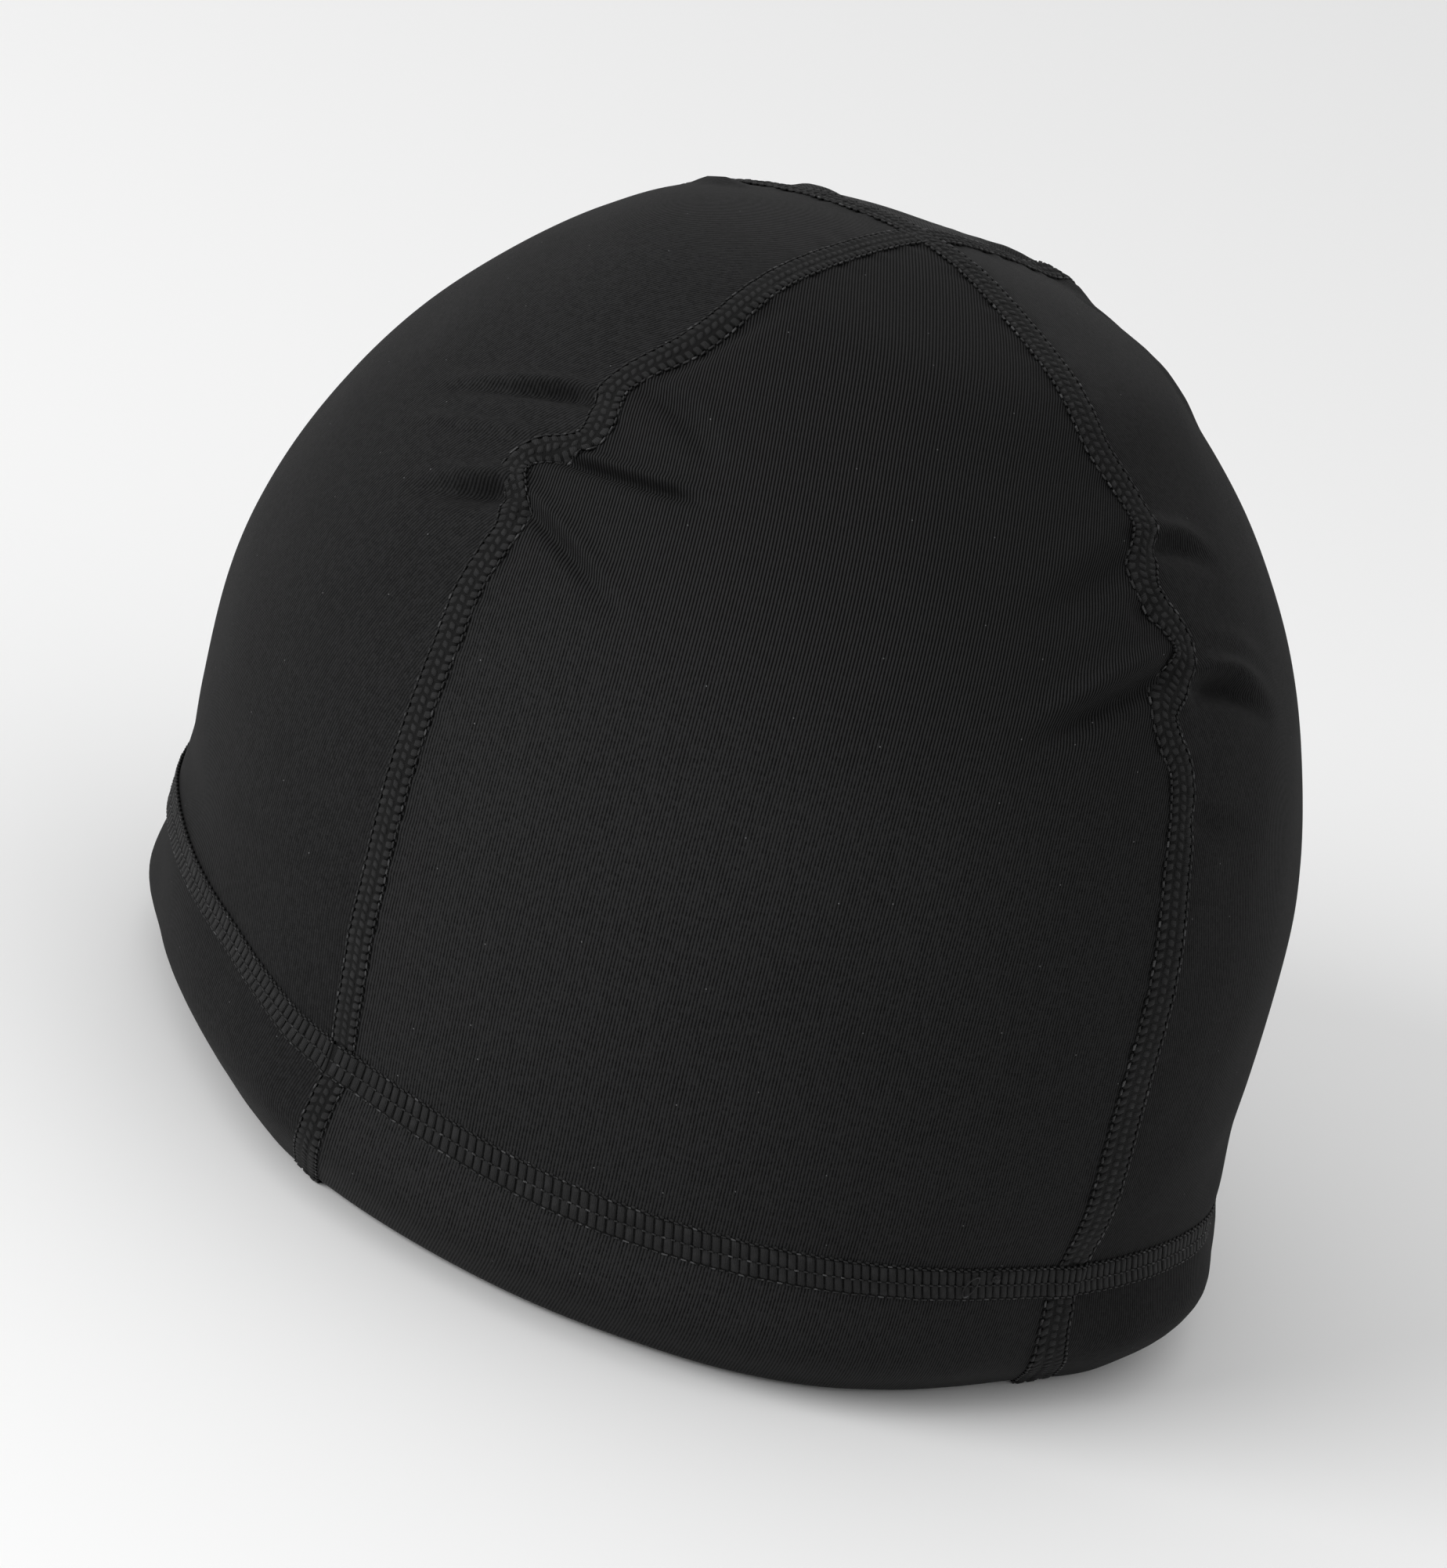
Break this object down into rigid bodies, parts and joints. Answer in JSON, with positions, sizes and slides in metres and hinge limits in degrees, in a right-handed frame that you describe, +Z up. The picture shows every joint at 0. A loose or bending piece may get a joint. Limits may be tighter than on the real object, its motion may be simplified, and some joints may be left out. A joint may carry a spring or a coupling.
{
  "type": "stretch hat",
  "caption": "Close-fitting stretch knit cap of four gores under raised flatlock seams, with a turned-up hem held by a band of cover stitching.",
  "frame": {"origin": "under the middle of the hem, on the surface that the cap rests on", "axes": "+Z up through the crown, -Y the front, +X the right side seen from the front"},
  "size_m": [0.1809, 0.1966, 0.149],
  "materials": {
    "knit": "matt black stretch knit with fine vertical ribs",
    "thread": "matt black polyester sewing thread"
  },
  "bodies": {
    "root": {"panel_front": "knit", "panel_right": "knit", "panel_back": "knit", "panel_left": "knit", "seam_over_crown": "thread", "seam_front_left": "thread", "seam_back_right": "thread", "hem_stitch": "thread"}
  },
  "joints": []
}
